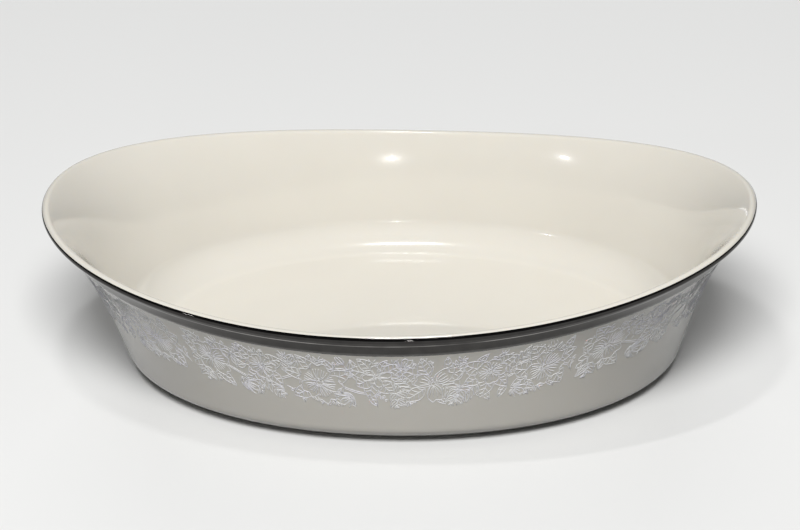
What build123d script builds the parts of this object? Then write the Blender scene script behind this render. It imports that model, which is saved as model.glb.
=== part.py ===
"""Oval open serving bowl in glazed bone china, with a boat-shaped rim that rises at both ends.

Millimetres, +Z up, +X along the length. The origin is the centre of the foot, on the surface that
the bowl stands on. A platinum band covers the lip, and four lengths of raised white enamel garland
run around the outside of the wall below it.
"""
import os
from math import cos, pi, radians, sin

from build123d import *

# Overall sizes, to the outside of the bare lip.
LENGTH = 241.3
WIDTH = 156.0
END_HEIGHT = 57.4
SIDE_HEIGHT = 45.8

# Wall. The lip is a full round, so it is as thick as two of its radii. The leans and flares are
# how much further out the wall is at the lip than at the underside.
LIP_RADIUS = 1.5
BASE_WALL = 3.8
PLAN_POWER = 2.08
END_LEAN = 19.0
SIDE_LEAN = 9.5
END_FLARE = 8.0
SIDE_FLARE = 2.4
FLARE_POWER = 5

# Base. The wall turns in on a round corner to a flat underside, a little above the table.
UNDERSIDE_HEIGHT = 1.0
CORNER_REACH = 6.0
CORNER_HEIGHT = 5.0
FLOOR_HEIGHT = 6.4
COVE_RADIUS = 8.0
CORNER_ROUNDNESS = 0.55

# Foot ring under the corner, and the hollow that it encloses.
FOOT_INSET = 1.6
FOOT_WIDTH = 3.4
FOOT_TAPER = 1.0
HOLLOW_HEIGHT = 2.6
HOLLOW_TAPER = 1.8

# Skins on the glaze, each a clearance off the china.
SKIN_CLEARANCE = 0.03

# Platinum band, from just inside the crest of the lip to a line this far below the lip's centre.
PLATINUM_THICKNESS = 0.10
PLATINUM_CREST_ANGLE = 82.0
PLATINUM_DROP = 4.8

# Enamel garland, in four lengths. Each starts at its turn around the oval, in degrees from +X,
# and runs on to the start of the next.
ENAMEL_THICKNESS = 0.12
GARLAND_BELOW_PLATINUM = 2.0
GARLAND_HEIGHT = 22.0
GARLAND_JOINT = 0.8
GARLAND_STARTS = {
    "enamel_garland_front": 235.0,
    "enamel_garland_right": 308.0,
    "enamel_garland_back": 52.0,
    "enamel_garland_left": 125.0,
}

# Points along each ring, rings up each face of the wall, and the step for finding directions.
RING_POINTS = 48
WALL_RINGS = 16
CORNER_SHARES = (0.2, 0.4, 0.6, 0.8, 1.0)
LIP_STEP = 20
SKIN_STEP = 1.2
SKIN_LIP_STEPS = 10
NUDGE = 1e-4


def oval_point(turn, half_length, half_width, height):
    """Point of a level oval, a little squarer than an ellipse, at a turn in radians."""
    swell = (abs(cos(turn)) ** PLAN_POWER + abs(sin(turn)) ** PLAN_POWER) ** (-1 / PLAN_POWER)
    return Vector(half_length * cos(turn) * swell, half_width * sin(turn) * swell, height)


def lip_height(turn):
    """Height of the centre of the lip's round, highest at the two ends."""
    return SIDE_HEIGHT - LIP_RADIUS + (END_HEIGHT - SIDE_HEIGHT) * cos(turn) ** 2


def rise_at(turn, height):
    """Share of the way from the underside to the lip at which the wall is this high."""
    return (height - UNDERSIDE_HEIGHT) / (lip_height(turn) - UNDERSIDE_HEIGHT)


def wall_point(turn, rise):
    """Point on the middle of the wall's thickness: it leans out, then flares towards the lip."""
    end_reach = END_LEAN * (1 - rise) + END_FLARE * (1 - rise**FLARE_POWER)
    side_reach = SIDE_LEAN * (1 - rise) + SIDE_FLARE * (1 - rise**FLARE_POWER)
    height = UNDERSIDE_HEIGHT + (lip_height(turn) - UNDERSIDE_HEIGHT) * rise
    half_length = LENGTH / 2 - LIP_RADIUS - end_reach
    return oval_point(turn, half_length, WIDTH / 2 - LIP_RADIUS - side_reach, height)


def wall_frame(turn, rise):
    """Middle point of the wall with its outward and upward directions there."""
    along = wall_point(turn + NUDGE, rise) - wall_point(turn - NUDGE, rise)
    up = wall_point(turn, rise + NUDGE) - wall_point(turn, rise - NUDGE)
    outward = along.cross(up).normalized()
    return wall_point(turn, rise), outward, outward.cross(along).normalized()


def face_point(turn, rise, side, skin=0.0):
    """Point on the outside (side 1) or the inside (side -1) of the wall, or a skin's height off it."""
    middle, outward, _ = wall_frame(turn, rise)
    half_wall = LIP_RADIUS + (BASE_WALL / 2 - LIP_RADIUS) * (1 - rise) ** 2
    return middle + outward * side * (half_wall + skin)


def lip_point(turn, angle, skin=0.0):
    """Point on the lip's round, from 0 degrees outside over the crest at 90 to 180 inside."""
    middle, outward, upward = wall_frame(turn, 1.0)
    direction = outward * cos(radians(angle)) + upward * sin(radians(angle))
    return middle + direction * (LIP_RADIUS + skin)


def corner_point(start, apex, end, share):
    """Point on a round corner that leaves start towards apex and comes to end from it."""
    near = start + (apex - start) * CORNER_ROUNDNESS
    far = end + (apex - end) * CORNER_ROUNDNESS
    left = 1 - share
    return start * left**3 + near * 3 * left**2 * share + far * 3 * left * share**2 + end * share**3


def base_point(turn, inset, height):
    """Point of a level oval, inset from the outside of the wall at the underside."""
    half_length = LENGTH / 2 - END_LEAN - END_FLARE - inset
    return oval_point(turn, half_length, WIDTH / 2 - SIDE_LEAN - SIDE_FLARE - inset, height)


def outer_corner_point(turn, share):
    """Point on the round corner from the wall's outside (share 0) to the underside (share 1)."""
    start = face_point(turn, rise_at(turn, UNDERSIDE_HEIGHT + CORNER_HEIGHT), 1)
    apex = base_point(turn, 0, UNDERSIDE_HEIGHT)
    return corner_point(start, apex, base_point(turn, CORNER_REACH, UNDERSIDE_HEIGHT), share)


def cove_point(turn, share):
    """Point on the cove from the wall's inside (share 0) to the flat floor (share 1)."""
    start = face_point(turn, rise_at(turn, FLOOR_HEIGHT + COVE_RADIUS), -1)
    apex = base_point(turn, BASE_WALL, FLOOR_HEIGHT)
    return corner_point(start, apex, base_point(turn, BASE_WALL + COVE_RADIUS, FLOOR_HEIGHT), share)


def ring(point):
    """Closed smooth wire through the points that a function of the turn gives."""
    turns = [2 * pi * index / RING_POINTS for index in range(RING_POINTS + 1)]
    points = [point(turn) for turn in turns[:-1]]
    return Wire([Edge.make_spline(points, periodic=True, parameters=turns)])


def level_ring(inset, height):
    """Level ring, inset from the outside of the wall at the underside."""
    return ring(lambda turn: base_point(turn, inset, height))


def wall_rings(side, from_height):
    """Rings up one face of the wall, from a height to just short of the lip."""
    rings = []
    for index in range(WALL_RINGS):
        share = index / WALL_RINGS

        def point(turn, share=share):
            foot = rise_at(turn, from_height)
            return face_point(turn, foot + (1 - foot) * share, side)

        rings.append(ring(point))
    return rings


def china_bowl():
    """Corner, wall, lip, wall and cove in one loft over the lip, with the foot ring under it."""
    rings = [ring(lambda turn, s=s: outer_corner_point(turn, s)) for s in reversed(CORNER_SHARES)]
    rings += wall_rings(1, UNDERSIDE_HEIGHT + CORNER_HEIGHT)
    rings += [ring(lambda turn, a=a: lip_point(turn, a)) for a in range(0, 181, LIP_STEP)]
    rings += reversed(wall_rings(-1, FLOOR_HEIGHT + COVE_RADIUS))
    rings += [ring(lambda turn, s=s: cove_point(turn, s)) for s in CORNER_SHARES]
    vessel = Solid.make_loft(rings)
    foot_edge = CORNER_REACH + FOOT_INSET
    foot_top = level_ring(foot_edge - FOOT_TAPER, UNDERSIDE_HEIGHT)
    foot = Solid.make_loft([level_ring(foot_edge, 0), foot_top])
    hollow_edge = foot_edge + FOOT_WIDTH
    hollow_top = level_ring(hollow_edge + HOLLOW_TAPER, HOLLOW_HEIGHT)
    hollow = Solid.make_loft([level_ring(hollow_edge, 0), hollow_top])
    return vessel + foot - hollow


def skin_ring(thickness, courses):
    """Closed skin around the bowl, from a list of functions of the turn and the height off the glaze."""
    inner = [ring(lambda turn, c=c: c(turn, SKIN_CLEARANCE)) for c in courses]
    outer = [ring(lambda turn, c=c: c(turn, SKIN_CLEARANCE + thickness)) for c in courses]
    loop = outer + inner[::-1] + outer[:1]
    faces = [Shell.make_loft(pair, ruled=True).faces()[0] for pair in zip(loop, loop[1:])]
    return Solid(Shell(faces))


def wall_courses(low_drop, high_drop):
    """Courses up the outside of the wall between two drops below the centre of the lip."""
    count = max(2, round((low_drop - high_drop) / SKIN_STEP))
    courses = []
    for index in range(count + 1):
        drop = low_drop + (high_drop - low_drop) * index / count

        def course(turn, skin, drop=drop):
            return face_point(turn, rise_at(turn, lip_height(turn) - drop), 1, skin)

        courses.append(course)
    return courses


def platinum_band():
    """Thin metal over the outside of the lip and the top of the wall."""
    courses = wall_courses(PLATINUM_DROP, 0)
    for index in range(1, SKIN_LIP_STEPS + 1):
        angle = PLATINUM_CREST_ANGLE * index / SKIN_LIP_STEPS
        courses.append(lambda turn, skin, a=angle: lip_point(turn, a, skin))
    return skin_ring(PLATINUM_THICKNESS, courses)


def sector(start, end):
    """Upright wedge between two turns, in degrees, that leaves half a joint at each side."""
    corners = []
    for turn, side in ((start, 1), (end, -1)):
        out = oval_point(radians(turn), LENGTH, WIDTH, 0)
        across = Vector(-out.Y, out.X, 0).normalized() * side * GARLAND_JOINT / 2
        corners += [across, across + out]
    middle = oval_point(radians((start + end) / 2), LENGTH, WIDTH, 0)
    near_start, far_start, near_end, far_end = corners
    sides = [near_start, far_start, far_start + middle, far_end + middle, far_end, near_end]
    return extrude(make_face(Polyline(*sides, near_start)), END_HEIGHT)


def enamel_garlands():
    """The four lengths of the garland, cut from one ring of raised enamel."""
    top = PLATINUM_DROP + GARLAND_BELOW_PLATINUM
    whole = skin_ring(ENAMEL_THICKNESS, wall_courses(top + GARLAND_HEIGHT, top))
    starts = list(GARLAND_STARTS.items())
    lengths = {}
    for (name, start), (_, end) in zip(starts, starts[1:] + starts[:1]):
        if end < start:
            end += 360
        lengths[name] = whole & sector(start, end)
    return lengths


os.makedirs("parts", exist_ok=True)
nodes = {"china_bowl": china_bowl(), "platinum_band": platinum_band(), **enamel_garlands()}
for node_name, solid in nodes.items():
    export_step(solid, f"parts/{node_name}.step")
    print(node_name, round(solid.volume, 1), "mm3")
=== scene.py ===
import random
from math import pi, radians

import bpy
import numpy as np
from mathutils import Matrix, Vector


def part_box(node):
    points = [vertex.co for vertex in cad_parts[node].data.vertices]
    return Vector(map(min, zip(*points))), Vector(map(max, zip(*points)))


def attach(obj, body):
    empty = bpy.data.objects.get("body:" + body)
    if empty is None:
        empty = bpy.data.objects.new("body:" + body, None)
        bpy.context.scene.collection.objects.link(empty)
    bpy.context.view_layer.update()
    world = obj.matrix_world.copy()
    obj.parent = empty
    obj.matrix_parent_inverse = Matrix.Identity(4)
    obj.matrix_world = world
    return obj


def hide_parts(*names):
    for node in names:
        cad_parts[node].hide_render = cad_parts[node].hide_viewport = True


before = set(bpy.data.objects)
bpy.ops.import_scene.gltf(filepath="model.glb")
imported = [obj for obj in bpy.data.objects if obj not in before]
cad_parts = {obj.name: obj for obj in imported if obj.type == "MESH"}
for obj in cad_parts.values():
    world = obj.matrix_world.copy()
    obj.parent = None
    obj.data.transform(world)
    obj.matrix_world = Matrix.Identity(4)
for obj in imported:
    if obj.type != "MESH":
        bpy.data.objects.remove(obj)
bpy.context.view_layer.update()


# ---------------------------------------------------------------------------------------------
# Studio. The bowl stands on a plain pale floor. A broad soft lamp lights it from high in front, a
# lower one from behind, and three small lamps make the glints on the glaze and the platinum.
# Lamps are placed in metres. The pieces' own sizes are in millimetres, and MM makes them metres.

MM = 0.001


class Signal:
    """A number on its way through a finish's nodes: sums and products of it add Math nodes."""

    def __init__(self, finish, socket):
        self.finish = finish
        self.socket = socket

    def math(self, operation, *values):
        """This signal and any further values through one Math node."""
        inputs = dict(enumerate((self, *values)))
        return self.finish.add("ShaderNodeMath", {"operation": operation}, inputs)

    def __add__(self, other):
        return self.math("ADD", other)

    def __sub__(self, other):
        return self.math("SUBTRACT", other)

    def __mul__(self, other):
        return self.math("MULTIPLY", other)

    def __rsub__(self, other):
        return self.finish.add("ShaderNodeMath", {"operation": "SUBTRACT"}, {0: other, 1: self})

    __radd__ = __add__
    __rmul__ = __mul__

    def ramp(self, low, high):
        """0 at low and 1 at high, with soft ends."""
        settings = {"interpolation_type": "SMOOTHSTEP"}
        return self.finish.add("ShaderNodeMapRange", settings, {"Value": self, 1: low, 2: high})


class Finish:
    """A material with one Principled shader, whose nodes are added in Python."""

    def __init__(self, name, **constants):
        self.material = bpy.data.materials.new(name)
        self.material.use_nodes = True
        self.tree = self.material.node_tree
        self.shader = self.tree.nodes["Principled BSDF"]
        self.set(**constants)

    def set(self, **inputs):
        """Values or signals for the shader's sockets, named with underscores for spaces."""
        for name, value in inputs.items():
            self.feed(self.shader.inputs[name.replace("_", " ")], value)

    def feed(self, socket, value):
        """Links a signal to a socket, or sets the socket's own value."""
        if isinstance(value, Signal):
            self.tree.links.new(value.socket, socket)
        else:
            socket.default_value = value

    def add(self, kind, settings=None, inputs=None, output=0):
        """A node of a kind, with its settings made before its sockets are fed."""
        node = self.tree.nodes.new(kind)
        for name, value in (settings or {}).items():
            setattr(node, name, value)
        for name, value in (inputs or {}).items():
            self.feed(node.inputs[name], value)
        return Signal(self, node.outputs[output])

    def place(self):
        """The point of the piece that is being shaded, in metres."""
        return self.add("ShaderNodeTexCoord", output="Object")

    def noise(self, scale, detail=2.0):
        """Cloudy noise, with its scale in waves per metre."""
        inputs = {"Vector": self.place(), "Scale": scale, "Detail": detail}
        return self.add("ShaderNodeTexNoise", None, inputs)

    def blend(self, share, first, second):
        """From one colour to another as the share goes from 0 to 1."""
        inputs = {0: share, 6: first, 7: second}
        return self.add("ShaderNodeMix", {"data_type": "RGBA"}, inputs, output=2)

    def bump(self, height, depth, strength, under=None):
        """Fine relief of a depth in metres, on top of another relief where one is given."""
        inputs = {"Height": height, "Distance": depth, "Strength": strength}
        if under:
            inputs["Normal"] = under
        return self.add("ShaderNodeBump", None, inputs)


FLOOR_RADIUS = 4.0
FLOOR_BOUNCE = (0.10, 0.10, 0.10, 1)
FLOOR_COLOUR = (0.76, 0.76, 0.75, 1)
ROOM_COLOUR = (0.80, 0.82, 0.85, 1)
ROOM_STRENGTH = 0.125

bpy.ops.object.select_all(action="DESELECT")
bpy.ops.mesh.primitive_circle_add(vertices=128, radius=FLOOR_RADIUS, fill_type="NGON")
floor = bpy.context.object
floor.name = "studio_floor"
floor_paint = Finish("studio_floor", Roughness=0.6, Specular_IOR_Level=0.2)
seen = floor_paint.add("ShaderNodeLightPath", output="Is Camera Ray")
mirrored = floor_paint.add("ShaderNodeLightPath", output="Is Glossy Ray")
through = floor_paint.add("ShaderNodeLightPath", output="Is Transmission Ray")
shown = seen.math("MAXIMUM", mirrored).math("MAXIMUM", through)
floor_paint.set(Base_Color=floor_paint.blend(shown, FLOOR_BOUNCE, FLOOR_COLOUR))
floor.data.materials.append(floor_paint.material)

world = bpy.context.scene.world or bpy.data.worlds.new("studio")
bpy.context.scene.world = world
world.use_nodes = True
room = world.node_tree.nodes["Background"]
room.inputs["Color"].default_value = ROOM_COLOUR
room.inputs["Strength"].default_value = ROOM_STRENGTH

LAMPS = {
    "lamp_key": {"at": (0.18, -1.35, 1.97), "size": (1.10, 0.85), "power": 61.0},
    "lamp_back": {"at": (-0.35, 1.90, 0.40), "size": (1.20, 0.50), "power": 20.0},
    "lamp_overhead": {"at": (-0.12, -0.06, 1.25), "size": (0.05, 0.14), "power": 1.7},
    "lamp_front": {"at": (-0.03, -1.35, 0.36), "size": (0.024, 0.026), "power": 0.40},
    "lamp_left": {"at": (-0.83, -0.88, 0.48), "size": (0.05, 0.03), "power": 0.35},
}
BROAD_LAMPS = ("lamp_key", "lamp_back")
LAMPS_AIM = Vector((0, 0, 0.03))

for name, lamp in LAMPS.items():
    bpy.ops.object.light_add(type="AREA", location=lamp["at"])
    light = bpy.context.object
    light.name = name
    light.data.shape = "RECTANGLE"
    light.data.size, light.data.size_y = lamp["size"]
    light.data.energy = lamp["power"]
    light.visible_glossy = name not in BROAD_LAMPS
    light.rotation_euler = (LAMPS_AIM - light.location).to_track_quat("-Z", "Y").to_euler()

CAMERA_TURN = 9.2
CAMERA_HEIGHT = 27.4
CAMERA_ROLL = -2.8
CAMERA_DISTANCE = 1159 * MM
CAMERA_TARGET = Vector((0.2, 0, 31.5)) * MM
CAMERA_LENS = 153.6

bpy.ops.object.camera_add()
camera = bpy.context.object
camera.name = "studio_camera"
camera.data.lens = CAMERA_LENS
swing = Matrix.Rotation(radians(CAMERA_TURN), 4, "Z")
tilt = Matrix.Rotation(radians(90 - CAMERA_HEIGHT), 4, "X")
roll = Matrix.Rotation(radians(CAMERA_ROLL), 4, "Z")
back_off = Matrix.Translation((0, 0, CAMERA_DISTANCE))
camera.matrix_world = Matrix.Translation(CAMERA_TARGET) @ swing @ tilt @ roll @ back_off
bpy.context.scene.camera = camera
bpy.context.scene.view_settings.view_transform = "Standard"


# ---------------------------------------------------------------------------------------------
# China bowl: one slip-cast piece of bone china with its foot ring, dipped in clear gloss glaze.
# The wall leans out and flares to a round lip that rises at both ends. The foot is wiped bare.

low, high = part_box("china_bowl")
HALF_LENGTH = (high.x - low.x) / 2 / MM
HALF_WIDTH = (high.y - low.y) / 2 / MM
END_HEIGHT = high.z / MM
SIDE_HEIGHT = 45.8
LIP = 1.5
BASE_WALL = 3.8
SQUARENESS = 2.08
LEAN = (19.0, 9.5)
FLARE = (8.0, 2.4)
FLARE_POWER = 5
UNDERSIDE = 1.0
CORNER_REACH, CORNER_HEIGHT = 6.0, 5.0
FLOOR, COVE = 6.4, 8.0
FOOT_OUTSIDE, FOOT_INSIDE = 7.6, 11.0
FOOT_ROUND = 0.35
FOOT_SPREAD, FOOT_LAP = 0.8, 0.1
EDGE_HOLD = 0.04
HOLLOW, HOLLOW_INSET = 2.6, 12.8
FLOOR_DISH = 0.25
CORNER_PULL = 0.55
TURNS = 320
NUDGE = 1e-4
MERGE_DISTANCE = 1e-7


def oval(turn, half_length, half_width, height):
    """Points of an oval that is a little squarer than an ellipse, in millimetres."""
    swell = (abs(np.cos(turn)) ** SQUARENESS + abs(np.sin(turn)) ** SQUARENESS) ** (-1 / SQUARENESS)
    x = half_length * np.cos(turn) * swell
    return np.stack(np.broadcast_arrays(x, half_width * np.sin(turn) * swell, height), -1)


def lip_height(turn):
    """Height of the centre of the lip's round, lowest at the sides and highest at the ends."""
    return SIDE_HEIGHT - LIP + (END_HEIGHT - SIDE_HEIGHT) * np.cos(turn) ** 2


def rise_at(turn, height):
    """Share of the way from the underside to the lip."""
    return (height - UNDERSIDE) / (lip_height(turn) - UNDERSIDE)


def wall_middle(turn, rise):
    """Middle of the wall's thickness, which leans out all the way and flares near the lip."""
    lean, flare = 1 - rise, 1 - rise**FLARE_POWER
    reach = [LIP + LEAN[axis] * lean + FLARE[axis] * flare for axis in (0, 1)]
    height = UNDERSIDE + (lip_height(turn) - UNDERSIDE) * rise
    return oval(turn, HALF_LENGTH - reach[0], HALF_WIDTH - reach[1], height)


def unit(vectors):
    """The same directions with a length of 1."""
    return vectors / np.linalg.norm(vectors, axis=-1, keepdims=True)


def wall_frame(turn, rise):
    """Middle of the wall, with its outward and upward directions."""
    around = wall_middle(turn + NUDGE, rise) - wall_middle(turn - NUDGE, rise)
    up = wall_middle(turn, rise + NUDGE) - wall_middle(turn, rise - NUDGE)
    outward = unit(np.cross(around, up))
    return wall_middle(turn, rise), outward, unit(np.cross(outward, around))


def wall_face(turn, rise, side=1, lift=0.0):
    """Outside or inside of the wall, or a point lifted off it."""
    middle, outward, _ = wall_frame(turn, rise)
    half_wall = LIP + (BASE_WALL / 2 - LIP) * (1 - rise) ** 2
    return middle + outward * np.expand_dims(side * (half_wall + lift), -1)


def lip_round(turn, angle, lift=0.0):
    """The lip's round, from 0 outside over the crest to pi inside."""
    middle, outward, upward = wall_frame(turn, np.ones_like(turn))
    swing = (angle + np.zeros_like(turn))[:, None]
    return middle + (outward * np.cos(swing) + upward * np.sin(swing)) * (LIP + lift)


def base_oval(turn, inset, height):
    """The bowl's outline at its base, made smaller all round by an inset."""
    half_length = HALF_LENGTH - LEAN[0] - FLARE[0] - inset
    half_width = HALF_WIDTH - LEAN[1] - FLARE[1] - inset
    return oval(turn, half_length, half_width, height)


def corner(start, apex, end, share):
    """A round corner from start to end, pulled towards its apex."""
    near = start + (apex - start) * CORNER_PULL
    far = end + (apex - end) * CORNER_PULL
    left = 1 - share
    return start * left**3 + near * 3 * left**2 * share + far * 3 * left * share**2 + end * share**3


def outer_corner(turn, share):
    """The round corner from the underside up to the outside of the wall."""
    start = base_oval(turn, CORNER_REACH, UNDERSIDE)
    wall = wall_face(turn, rise_at(turn, UNDERSIDE + CORNER_HEIGHT))
    return corner(start, base_oval(turn, 0, UNDERSIDE), wall, share)


def cove(turn, share):
    """The hollow curve from the inside of the wall down to the floor."""
    wall = wall_face(turn, rise_at(turn, FLOOR + COVE), -1)
    floor_edge = base_oval(turn, BASE_WALL + COVE, FLOOR)
    return corner(wall, base_oval(turn, BASE_WALL, FLOOR), floor_edge, share)


def wall_stretch(turn, from_height, share, side):
    """A face of the wall, from a height at share 0 to the lip at share 1."""
    return wall_face(turn, rise_at(turn, from_height) * (1 - share) + share, side)


def foot_courses():
    """Both sides of each edge of the foot ring, from the hollow to the underside."""
    inner_edge = FOOT_INSIDE + FOOT_ROUND
    outer_edge = FOOT_OUTSIDE + FOOT_ROUND
    edges = [(HOLLOW_INSET, HOLLOW), (inner_edge, FOOT_ROUND), (FOOT_INSIDE, 0), (outer_edge, 0)]
    edges += [(FOOT_OUTSIDE, FOOT_ROUND), (FOOT_OUTSIDE - FOOT_SPREAD, UNDERSIDE - FOOT_LAP)]
    sides = (EDGE_HOLD, -EDGE_HOLD)
    rings = [(inset + beside, height) for inset, height in edges for beside in sides]
    return [lambda turn, ring=ring: base_oval(turn, *ring) for ring in rings]


def courses(shape, places):
    """One course of points around the bowl for each place on a shape."""
    return [lambda turn, place=place: shape(turn, place) for place in places]


def bowl_courses():
    """Courses from the middle of the hollow, over the lip, to the middle of the floor."""

    def hollow(turn, size):
        return base_oval(turn, HOLLOW_INSET, HOLLOW) * (size, size, 1)

    def outside(turn, share):
        return wall_stretch(turn, UNDERSIDE + CORNER_HEIGHT, share, 1)

    def inside(turn, share):
        return wall_stretch(turn, FLOOR + COVE, share, -1)

    def dished_floor(turn, size):
        sink = FLOOR_DISH * (1 - size**2) ** 2
        return base_oval(turn, BASE_WALL + COVE, FLOOR - sink) * (size, size, 1)

    bottom = courses(hollow, (0, 0.1, 0.4, 0.7, 0.9, 0.97)) + foot_courses()
    bottom += courses(outer_corner, np.linspace(0, 1, 13))
    wall = courses(outside, np.linspace(0, 1, 33)[1:-1])
    wall += courses(lip_round, np.linspace(0, pi, 17))
    wall += courses(inside, np.linspace(1, 0, 31)[1:-1])
    bed = courses(cove, np.linspace(0, 1, 15))
    bed += courses(dished_floor, (0.96, 0.88, 0.74, 0.56, 0.34, 0.1, 0))
    return bottom + wall + bed


def points_of(piece):
    """The piece's points as rows of x, y and z in metres."""
    flat = np.zeros(len(piece.data.vertices) * 3)
    piece.data.vertices.foreach_get("co", flat)
    return flat.reshape(-1, 3)


def wrapped_grid(name, rings):
    """A flat grid wrapped once around the bowl, with one row of points for each course."""
    rows = len(rings) - 1
    bpy.ops.object.select_all(action="DESELECT")
    bpy.ops.mesh.primitive_grid_add(x_subdivisions=TURNS, y_subdivisions=rows, size=1)
    piece = bpy.context.object
    piece.name = piece.data.name = name
    column, row = np.rint((points_of(piece)[:, :2] + 0.5) * (TURNS, rows)).astype(int).T
    turns = 2 * pi * np.arange(TURNS + 1) / TURNS
    around = np.array([ring(turns) for ring in rings])
    around[:, -1] = around[:, 0]
    piece.data.vertices.foreach_set("co", (around[row, column] * MM).ravel())
    bpy.ops.object.mode_set(mode="EDIT")
    bpy.ops.mesh.select_all(action="SELECT")
    bpy.ops.mesh.remove_doubles(threshold=MERGE_DISTANCE)
    bpy.ops.mesh.normals_make_consistent(inside=False)
    bpy.ops.object.mode_set(mode="OBJECT")
    bpy.ops.object.shade_smooth()
    return piece


china = wrapped_grid("china_body", bowl_courses())

IVORY = (0.700, 0.670, 0.602, 1), (0.712, 0.682, 0.613, 1)
BARE_CHINA = (0.71, 0.69, 0.63, 1)
GLAZE_STARTS = (0.12 * MM, 0.5 * MM)

glazed_china = Finish("glazed_bone_china", IOR=1.5)
glazed_china.set(Subsurface_Weight=0.12, Subsurface_Radius=(0.9, 0.7, 0.45), Subsurface_Scale=2.0 * MM)
glazed_china.set(Coat_Roughness=0.03, Coat_IOR=1.5)
mottle = glazed_china.noise(28.0, detail=3.0).ramp(0.35, 0.7)
height = glazed_china.add("ShaderNodeSeparateXYZ", None, {0: glazed_china.place()}, output=2)
bare = 1 - height.ramp(*GLAZE_STARTS)
body_colour = glazed_china.blend(mottle, *IVORY)
glazed_china.set(Base_Color=glazed_china.blend(bare, body_colour, BARE_CHINA))
glazed_china.set(Roughness=0.14 + bare * 0.6, Coat_Weight=(1 - bare) * 0.8)
ripple = glazed_china.bump(glazed_china.noise(55.0, detail=1.0), 0.05 * MM, 0.5)
tooth = glazed_china.noise(1400.0) * bare
glazed_china.set(Normal=glazed_china.bump(tooth, 0.03 * MM, 0.6, under=ripple))
china.data.materials.append(glazed_china.material)
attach(china, "root")
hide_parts("china_bowl")


# ---------------------------------------------------------------------------------------------
# Platinum band: liquid platinum brushed by hand over the lip and the top of the wall, fired on
# the glaze and burnished. It thins out to a grey wash along its lower edge.

BAND_CREST = radians(82)
BAND_DROP = 4.8
WASH = 1.3
PLATINUM_LIFT = 0.09
EDGE_SINK = 0.03
BACK_SINK = 0.08
CREST_WANDER, WASH_WANDER = 0.02, 0.05
CREST_SLOPE, WASH_SLOPE = 6, 8
# Painted reflection: a thin lighter line in the metal's colour, about 2 mm below the lip's centre,
# stands in for a light's reflection on the band.
REFLECTION_LINE_STARTS, REFLECTION_LINE_ENDS = (1.62, 1.84), (1.90, 2.12)
WASH_STARTS = (BAND_DROP + 0.7, BAND_DROP + 1.25)
PLATINUM = (0.046, 0.044, 0.043, 1), (0.056, 0.054, 0.052, 1)
PAINTED_REFLECTION = (0.38, 0.37, 0.36, 1)
WASHED = (0.105, 0.103, 0.10, 1)


def drop_rise(turn, drop):
    """Rise of a line on the wall, this far below the centre of the lip."""
    return rise_at(turn, lip_height(turn) - drop)


def brush_wander(turn, size, seed):
    """Slow uneven wander of a hand-held brush around the rim."""
    waves = [np.sin(turn * k + seed * k * 1.7) / k**0.7 for k in (2, 5, 11, 17, 31)]
    return size * sum(waves)


def band_lift(share, slope):
    """Height of the metal over the glaze: full almost to its edge, where it sinks in."""
    return PLATINUM_LIFT * min(1, slope * (1 - share)) - (EDGE_SINK if share == 1 else 0)


def band_courses():
    """Courses from the crest over the lip, down to the wash and back up behind the metal."""
    total = BAND_DROP + WASH

    def on_lip(turn, share):
        angle = share * BAND_CREST + brush_wander(turn, CREST_WANDER, 3.0) * share
        return lip_round(turn, angle, band_lift(share, CREST_SLOPE))

    def on_wall(turn, share):
        drop = share * (total + brush_wander(turn, WASH_WANDER, 1.0))
        return wall_face(turn, drop_rise(turn, drop), 1, band_lift(share, WASH_SLOPE))

    def behind_wall(turn, share):
        return wall_face(turn, drop_rise(turn, share * total), 1, -BACK_SINK)

    def behind_lip(turn, share):
        return lip_round(turn, share * BAND_CREST, -BACK_SINK)

    front = courses(on_lip, np.linspace(1, 0, 13)) + courses(on_wall, np.linspace(0, 1, 25)[1:])
    back = courses(behind_wall, np.linspace(1, 0, 9)) + courses(behind_lip, np.linspace(0, 1, 7)[1:])
    return front + back + front[:1]


band = wrapped_grid("platinum_lip", band_courses())
points = points_of(band) / MM
rim_turn = np.arctan2(points[:, 1] / HALF_WIDTH, points[:, 0] / HALF_LENGTH)
band_depth = band.data.attributes.new("depth", "FLOAT", "POINT")
band_depth.data.foreach_set("value", (lip_height(rim_turn) - points[:, 2]).astype(np.float32))

platinum = Finish("burnished_platinum", Metallic=1.0)
depth = platinum.add("ShaderNodeAttribute", {"attribute_name": "depth"}, output="Fac")
streaks = platinum.noise(240.0, detail=4.0)
thin = (depth + streaks * 0.5).ramp(*WASH_STARTS)
# Painted reflection: the band's colour turns lighter in a thin line just below the lip, fading in and
# out along the rim.
line = depth.ramp(*REFLECTION_LINE_STARTS) * (1 - depth.ramp(*REFLECTION_LINE_ENDS))
painted_reflection_line = line * platinum.noise(60.0, detail=3.0).ramp(0.2, 0.7)
metal = platinum.blend(streaks.ramp(0.3, 0.75), *PLATINUM)
metal = platinum.blend(painted_reflection_line, metal, PAINTED_REFLECTION)
platinum.set(Base_Color=platinum.blend(thin, metal, WASHED))
platinum.set(Roughness=streaks.ramp(0.35, 0.8) * 0.03 + 0.03 + thin * 0.16)
platinum.set(Normal=platinum.bump(platinum.noise(420.0, detail=3.0), 0.02 * MM, 0.12))
band.data.materials.append(platinum.material)
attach(band, "root")
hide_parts("platinum_band")


# ---------------------------------------------------------------------------------------------
# Enamel garland: fine raised lines of white enamel, printed flat on transfer paper, slid onto the
# glazed wall below the platinum in four lengths and fired. Flowers lie over leaves and ferns.

SHEET_LENGTH = 144.0
SHEET_HEIGHT = 22.0
LOWER_MARGIN, UPPER_MARGIN = 0.6, 0.4
FINE_STEP = 0.4
LEAFLET_PAIRS = 6
BERRIES, BERRY_RADIUS = 5, 0.5


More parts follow.
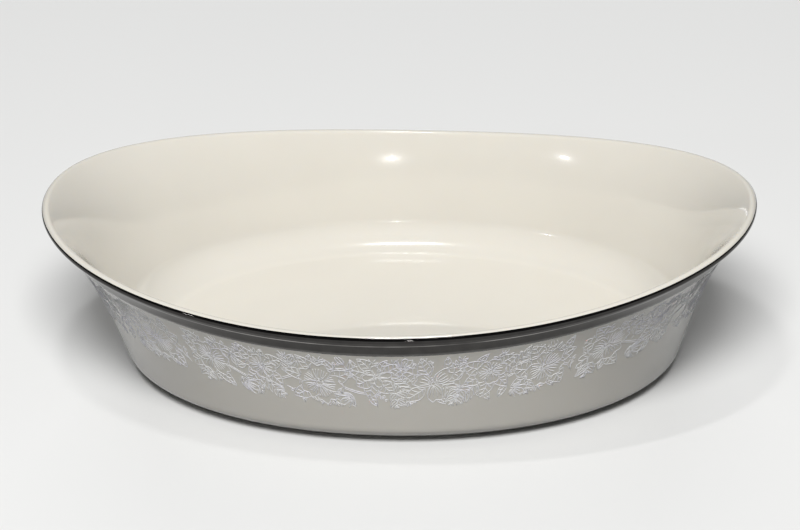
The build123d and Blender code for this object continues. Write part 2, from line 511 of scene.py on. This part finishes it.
def bow(start, end, bulge):
    """A line between two points, bowed to its left by a share of its length."""
    steps = max(3, round(abs(end - start) * (1 + abs(bulge)) / FINE_STEP) + 1)
    t = np.linspace(0, 1, steps)
    top = (start + end) / 2 + 2j * (end - start) * bulge
    return start * (1 - t) ** 2 + 2 * top * t * (1 - t) + end * t**2


def turned(degrees):
    """A factor that turns points of the sheet about its origin."""
    return np.exp(1j * np.radians(degrees))


class Transfer:
    """A flat printed sheet of fine lines. What is drawn first covers what is drawn after it."""

    def __init__(self):
        self.lines = []
        self.covers = []
        self.middles = np.zeros(0, complex)
        self.reaches = np.zeros(0)

    def draw(self, motif, at=0j, degrees=0.0):
        """A motif's lines and cover, moved and turned onto the sheet."""
        lines, cover = motif
        for line in lines:
            self.lines += self.shown(at + turned(degrees) * line)
        if cover is not None:
            cover = at + turned(degrees) * cover
            self.covers.append(cover)
            self.middles = np.append(self.middles, cover.mean())
            self.reaches = np.append(self.reaches, abs(cover - cover.mean()).max())

    def shown(self, line):
        """The stretches of a line that no earlier motif covers and that are on the sheet."""
        hidden = (line.imag < 0) | (line.imag > SHEET_HEIGHT)
        hidden |= (line.real < 0) | (line.real > SHEET_LENGTH)
        middle = line.mean()
        near = abs(self.middles - middle) < self.reaches + abs(line - middle).max()
        for index in np.flatnonzero(near):
            hidden |= within(line, self.covers[index])
        cuts = np.flatnonzero(np.diff(hidden)) + 1
        stretches = np.split(np.arange(len(line)), cuts)
        return [line[part] for part in stretches if not hidden[part[0]] and len(part) > 1]


def within(points, outline):
    """Which points lie inside a closed outline."""
    x, y = points.real[:, None], points.imag[:, None]
    ahead = np.roll(outline, -1)
    spans = (outline.imag > y) != (ahead.imag > y)
    climb = np.where(ahead.imag == outline.imag, 1, ahead.imag - outline.imag)
    slope = (ahead.real - outline.real) / climb
    return (spans & (x < outline.real + (y - outline.imag) * slope)).sum(1) % 2 == 1


def leaf(length, width, veins, sway, teeth=0):
    """A pointed leaf along +X with a midrib and paired veins."""
    t = np.linspace(0, 1, max(8, round(length / FINE_STEP)))
    rib = length * t + 1j * length * sway * np.sin(pi * t)
    half = width / 2 * np.sin(pi * t**0.85) ** 0.9
    half = half * (1 + 0.16 * abs(np.sin(teeth * pi * t))) if teeth else half
    upper, lower = rib + 1j * half, rib - 1j * half
    lines = [upper, lower, rib[: int(len(t) * 0.93)]]
    for share in np.linspace(0.12, 0.74, veins):
        start = int(share * (len(t) - 1))
        reach = min(len(t) - 1, int((share + 0.16) * (len(t) - 1)))
        for edge, side in ((upper, -1), (lower, 1)):
            lines.append(bow(rib[start], rib[reach] + (edge[reach] - rib[reach]) * 0.86, 0.08 * side))
    return lines, np.concatenate([upper, lower[::-1]])


def petal(length, width, notch, ruffle, ribs):
    """A rounded petal along +X, notched at its tip, with ribs fanning out from its base."""
    u = np.linspace(0, 2 * pi, max(14, round(2.6 * length / FINE_STEP)))
    x = (1 - np.cos(u)) / 2 - notch * np.exp(-(((u - pi) / 0.32) ** 2))
    wave = 1 + ruffle * np.sin(6 * u) * np.sin(u / 2) ** 2
    edge = length * x * wave + 1j * width / 2 * np.sin(u) * np.sin(u / 2) ** 0.6 * wave
    lines = [edge]
    for share in np.linspace(-0.55, 0.55, ribs):
        tip = length * (0.74 - 0.18 * abs(share)) + 1j * width / 2 * share * 1.1
        lines.append(bow(0.16 * length + 0.3j * width * share * 0.4, tip, 0.06 * np.sign(share)))
    return lines, edge


def ringlet(radius):
    """A small ring that hides what lies under it."""
    u = np.linspace(0, 2 * pi, max(8, round(2 * pi * radius / FINE_STEP)))
    ring = radius * np.exp(1j * u)
    return [ring], ring


def blossom(sheet, at, radius, petals, degrees, notch, ruffle, ribs):
    """An open flower: a beaded eye, then petals that each tuck under the one before."""
    sheet.draw(ringlet(0.1 * radius), at)
    for index in range(6):
        sheet.draw(ringlet(0.05 * radius), at + 0.2 * radius * turned(degrees + index * 60))
    for index in range(petals):
        angle = degrees + index * 360 / petals * 2
        length = radius * (1 + 0.07 * np.cos(3.1 * index))
        width = radius * 5.2 / petals
        sheet.draw(petal(length, width, notch, ruffle, ribs), at, angle)


def tulip(sheet, at, size, degrees):
    """A flower seen from the side: a front petal, two that curl away and two narrow leaves."""
    sheet.draw(petal(size, size * 0.52, 0.0, 0.0, 3), at, degrees)
    for side in (1, -1):
        sheet.draw(petal(size * 1.04, size * 0.5, -0.06, 0.04, 2), at, degrees + 24 * side)
    for side in (1, -1):
        sheet.draw(leaf(size * 0.62, size * 0.2, 0, 0.12 * side), at, degrees + 62 * side)


def along(stalk, share):
    """The point at a share of a stalk's length."""
    return stalk[int(share * (len(stalk) - 1))]


def frond(sheet, at, length, degrees, bend):
    """A fern frond: a bowed stalk with narrow leaflets down both sides, shorter to the tip."""
    stalk = bow(0j, length + 0j, bend)
    for index in range(LEAFLET_PAIRS):
        share = 0.14 + 0.82 * index / LEAFLET_PAIRS
        point = along(stalk, share)
        span = length * 0.42 * (1 - 0.66 * share) * (0.55 + 1.3 * min(share, 0.35))
        lean = np.degrees(np.angle(stalk[-1] - stalk[0])) + 90 * bend * (1 - 2 * share)
        for side in (1, -1):
            lines, cover = leaf(span, span * 0.3, 0, 0.1 * side)
            swing = turned(lean + 46 * side)
            edges = [point + swing * line for line in lines[:2]]
            sheet.draw((edges, point + swing * cover), at, degrees)
    sheet.draw(([stalk], None), at, degrees)


def spray(sheet, at, length, degrees):
    """A thin stalk with a berry at the end of each side stem."""
    stalk = bow(0j, length + 0j, 0.12)
    for index in range(BERRIES):
        share = 0.35 + 0.65 * index / (BERRIES - 1)
        point = along(stalk, share)
        side = 1 if index % 2 else -1
        berry = point + length * 0.16 * turned(38 * side if index < BERRIES - 1 else 0)
        ring = berry + ringlet(BERRY_RADIUS)[1]
        sheet.draw(([ring], ring), at, degrees)
        sheet.draw(([bow(point, berry, 0.1 * side)], None), at, degrees)
    sheet.draw(([stalk], None), at, degrees)


def twig(sheet, at, length, degrees, bend, rng):
    """A bowed stalk with a leaf at its tip and pairs of veined leaves down both sides."""
    stalk = bow(0j, length * 0.72 + 0j, bend)
    places = [(1.0, 0, 0.42), (0.72, 1, 0.36), (0.72, -1, 0.36), (0.42, 1, 0.4), (0.42, -1, 0.4)]
    for share, side, span in places:
        start = at + turned(degrees) * along(stalk, share)
        angle = degrees + side * rng.uniform(36, 54)
        sheet.draw(leaf(length * span, length * span * 0.42, 1, 0.08 * side), start, angle)
    sheet.draw(([stalk], None), at, degrees)


# Each flower's middle, radius, petals, turn, notch, ruffle and ribs.
FLOWERS = [
    (9.5 + 11.5j, 7.2, 5, 20, 0.12, 0.05, 5),
    (30 + 13.4j, 5.4, 7, 0, 0.10, 0.0, 3),
    (50.5 + 9.6j, 8.0, 5, 75, 0.05, 0.09, 6),
    (72 + 13.8j, 5.0, 8, 10, 0.0, 0.0, 2),
    (92 + 10.2j, 7.6, 6, 40, 0.14, 0.04, 4),
    (112 + 13.2j, 5.6, 5, 0, 0.10, 0.0, 4),
    (132 + 10.4j, 7.4, 5, 50, 0.10, 0.07, 5),
]
# Each side-on flower's foot, size and turn.
TULIPS = [
    (20.5 + 4.2j, 5.6, -20),
    (62 + 4.6j, 5.4, 215),
    (81 + 17.0j, 4.8, 75),
    (121.5 + 4.0j, 5.2, -30),
]


def strewn(rng, count, first, step, wander):
    """Numbered places along the sheet, each a little off its even spacing."""
    for index in range(count):
        yield index, first + step * index + rng.uniform(-wander, wander)


def leaves_behind(sheet, middle, radius, rng):
    """Veined leaves that reach out from behind a flower, where the sheet has room for them."""
    for degrees in (30, 75, 120, 160, 215, 260, 310):
        angle = degrees + rng.uniform(-10, 10)
        tip = middle + (radius + rng.uniform(3.8, 5.6)) * turned(angle)
        if LOWER_MARGIN < tip.imag < SHEET_HEIGHT - UPPER_MARGIN:
            start = middle + radius * 0.45 * turned(angle)
            width = rng.uniform(4.4, 5.8)
            sway = rng.uniform(-0.12, 0.12)
            teeth = rng.choice((0, 0, 7))
            sheet.draw(leaf(abs(tip - start), width, 4, sway, teeth), start, angle)


def twigs_between(sheet, rng):
    """Leafy twigs from the middle of the sheet, down and up by turns."""
    middle, length = 10.5j, 12.5
    for index, x in strewn(rng, count=12, first=4.5, step=12.2, wander=1.2):
        side = 1 if index % 2 else -1
        degrees = 90 * side + rng.uniform(-34, 34)
        twig(sheet, x + middle, length, degrees, rng.uniform(-0.1, 0.1), rng)


def ferns_between(sheet, rng):
    """Fern fronds up and down by turns, as long as the sheet allows. Each third one leans back."""
    longest = 15.5
    for index, x in strewn(rng, count=18, first=2, step=8.2, wander=1.2):
        up = index % 2 == 0
        y = 9.5 if up else 12.0
        degrees = rng.uniform(50, 82) if up else -rng.uniform(40, 72)
        if index % 3 == 1:
            degrees = 180 - degrees
        room = SHEET_HEIGHT - LOWER_MARGIN - y if up else y - LOWER_MARGIN
        length = min(room / abs(np.sin(np.radians(degrees))), longest)
        frond(sheet, x + 1j * y, length, degrees, rng.uniform(-0.16, 0.16))


def leaves_at_edges(sheet, rng):
    """Small leaves that fill the scalloped upper and lower edges."""
    width, veins = 2.7, 3
    for index, x in strewn(rng, count=34, first=3, step=4.15, wander=0.8):
        side = 1 if index % 2 else -1
        y = 15.6 if side > 0 else 6.2
        small_leaf = leaf(rng.uniform(5.4, 6.4), width, veins, 0.08 * side)
        sheet.draw(small_leaf, x + 1j * y, side * rng.uniform(50, 130))


def berries_between(sheet, rng):
    """Berry sprays in the gaps that are left, down and up by turns."""
    length = 5.5
    for index, x in strewn(rng, count=9, first=5, step=16.2, wander=1):
        up = index % 2 == 1
        y = 15.5 if up else 6.5
        degrees = rng.uniform(25, 70) if up else -rng.uniform(20, 60)
        spray(sheet, x + 1j * y, length, degrees)


def main_stems(sheet):
    """A pair of waving stems along the whole sheet, behind all the rest."""
    middle, sway, wave = 9.2, 3.2, 41
    x = np.arange(1.0, SHEET_LENGTH - 1, FINE_STEP)
    for apart in (0.0, 0.7):
        stem = x + 1j * (middle + sway * np.sin(2 * pi * x / wave + 0.6) + apart)
        sheet.draw(([stem], None))


def garland_sheet():
    """The whole printed length: flowers in front, leaves behind them, ferns and stems last."""
    sheet = Transfer()
    rng = random.Random(5)
    for flower in FLOWERS:
        blossom(sheet, *flower)
    for bud in TULIPS:
        tulip(sheet, *bud)
    for middle, radius, *_ in FLOWERS:
        leaves_behind(sheet, middle, radius, rng)
    twigs_between(sheet, rng)
    ferns_between(sheet, rng)
    leaves_at_edges(sheet, rng)
    berries_between(sheet, rng)
    main_stems(sheet)
    return sheet.lines


LINE_RADIUS = 0.145
LINE_HEIGHT = 0.85
LINE_ENDS = 0.12
GARLAND_TOP = BAND_DROP + 2.0
GARLAND_JOINT = 1.0
ARC_STEPS = 400
GARLAND_TURNS = {
    "enamel_garland_front": (235.0, 308.0),
    "enamel_garland_right": (308.0, 412.0),
    "enamel_garland_back": (52.0, 125.0),
    "enamel_garland_left": (125.0, 235.0),
}


def beaded_lines(name, lines):
    """The flat lines as rounded beads of enamel, thinner towards each end."""
    curve = bpy.data.curves.new(name, "CURVE")
    curve.dimensions = "3D"
    curve.twist_mode = "Z_UP"
    curve.bevel_depth = LINE_RADIUS * MM
    curve.bevel_resolution = 0
    curve.use_fill_caps = True
    for line in lines:
        spline = curve.splines.new("POLY")
        spline.points.add(len(line) - 1)
        none = np.zeros(len(line))
        flat = np.stack([line.real * MM, line.imag * MM, none, none + 1], -1)
        spline.points.foreach_set("co", flat.ravel())
        swell = np.sin(pi * np.linspace(LINE_ENDS, 1 - LINE_ENDS, len(line))) ** 0.5
        spline.points.foreach_set("radius", swell)
    bead = bpy.data.objects.new(name, curve)
    bpy.context.collection.objects.link(bead)
    bpy.ops.object.select_all(action="DESELECT")
    bead.select_set(True)
    bpy.context.view_layer.objects.active = bead
    bpy.ops.object.convert(target="MESH")
    bpy.ops.object.mode_set(mode="EDIT")
    bpy.ops.mesh.select_all(action="SELECT")
    bpy.ops.mesh.remove_doubles(threshold=MERGE_DISTANCE)
    bpy.ops.object.mode_set(mode="OBJECT")
    return bpy.context.object


def slid_onto_wall(piece, start, end):
    """Bends a flat sheet around the outside of the wall between two turns, in degrees."""
    across, up, proud = points_of(piece).T / MM
    turns = np.radians(np.linspace(start, end, ARC_STEPS))
    middle = wall_face(turns, drop_rise(turns, GARLAND_TOP + SHEET_HEIGHT / 2))
    lengths = np.append(0, np.cumsum(np.linalg.norm(np.diff(middle, axis=0), axis=1)))
    reach = GARLAND_JOINT / 2 + across / SHEET_LENGTH * (lengths[-1] - GARLAND_JOINT)
    turn = np.interp(reach, lengths, turns)
    rise = drop_rise(turn, GARLAND_TOP + SHEET_HEIGHT - up)
    wrapped = wall_face(turn, rise, 1, proud * LINE_HEIGHT) * MM
    piece.data.vertices.foreach_set("co", wrapped.ravel())
    piece.data.update()


ENAMEL_WHITE = (0.95, 0.95, 0.95, 1), (0.91, 0.90, 0.97, 1)

enamel = Finish("raised_white_enamel", Roughness=0.32, IOR=1.5)
enamel.set(Coat_Weight=0.25, Coat_Roughness=0.1)
tint = enamel.noise(90.0).ramp(0.35, 0.7)
enamel.set(Base_Color=enamel.blend(tint, *ENAMEL_WHITE))
enamel.set(Normal=enamel.bump(enamel.noise(1800.0, detail=1.0), 0.02 * MM, 0.4))
sheet_lines = garland_sheet()
for node, (start, end) in GARLAND_TURNS.items():
    garland = beaded_lines(node.replace("garland", "flowers"), sheet_lines)
    slid_onto_wall(garland, start, end)
    bpy.ops.object.shade_smooth()
    garland.data.materials.append(enamel.material)
    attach(garland, "root")
    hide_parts(node)
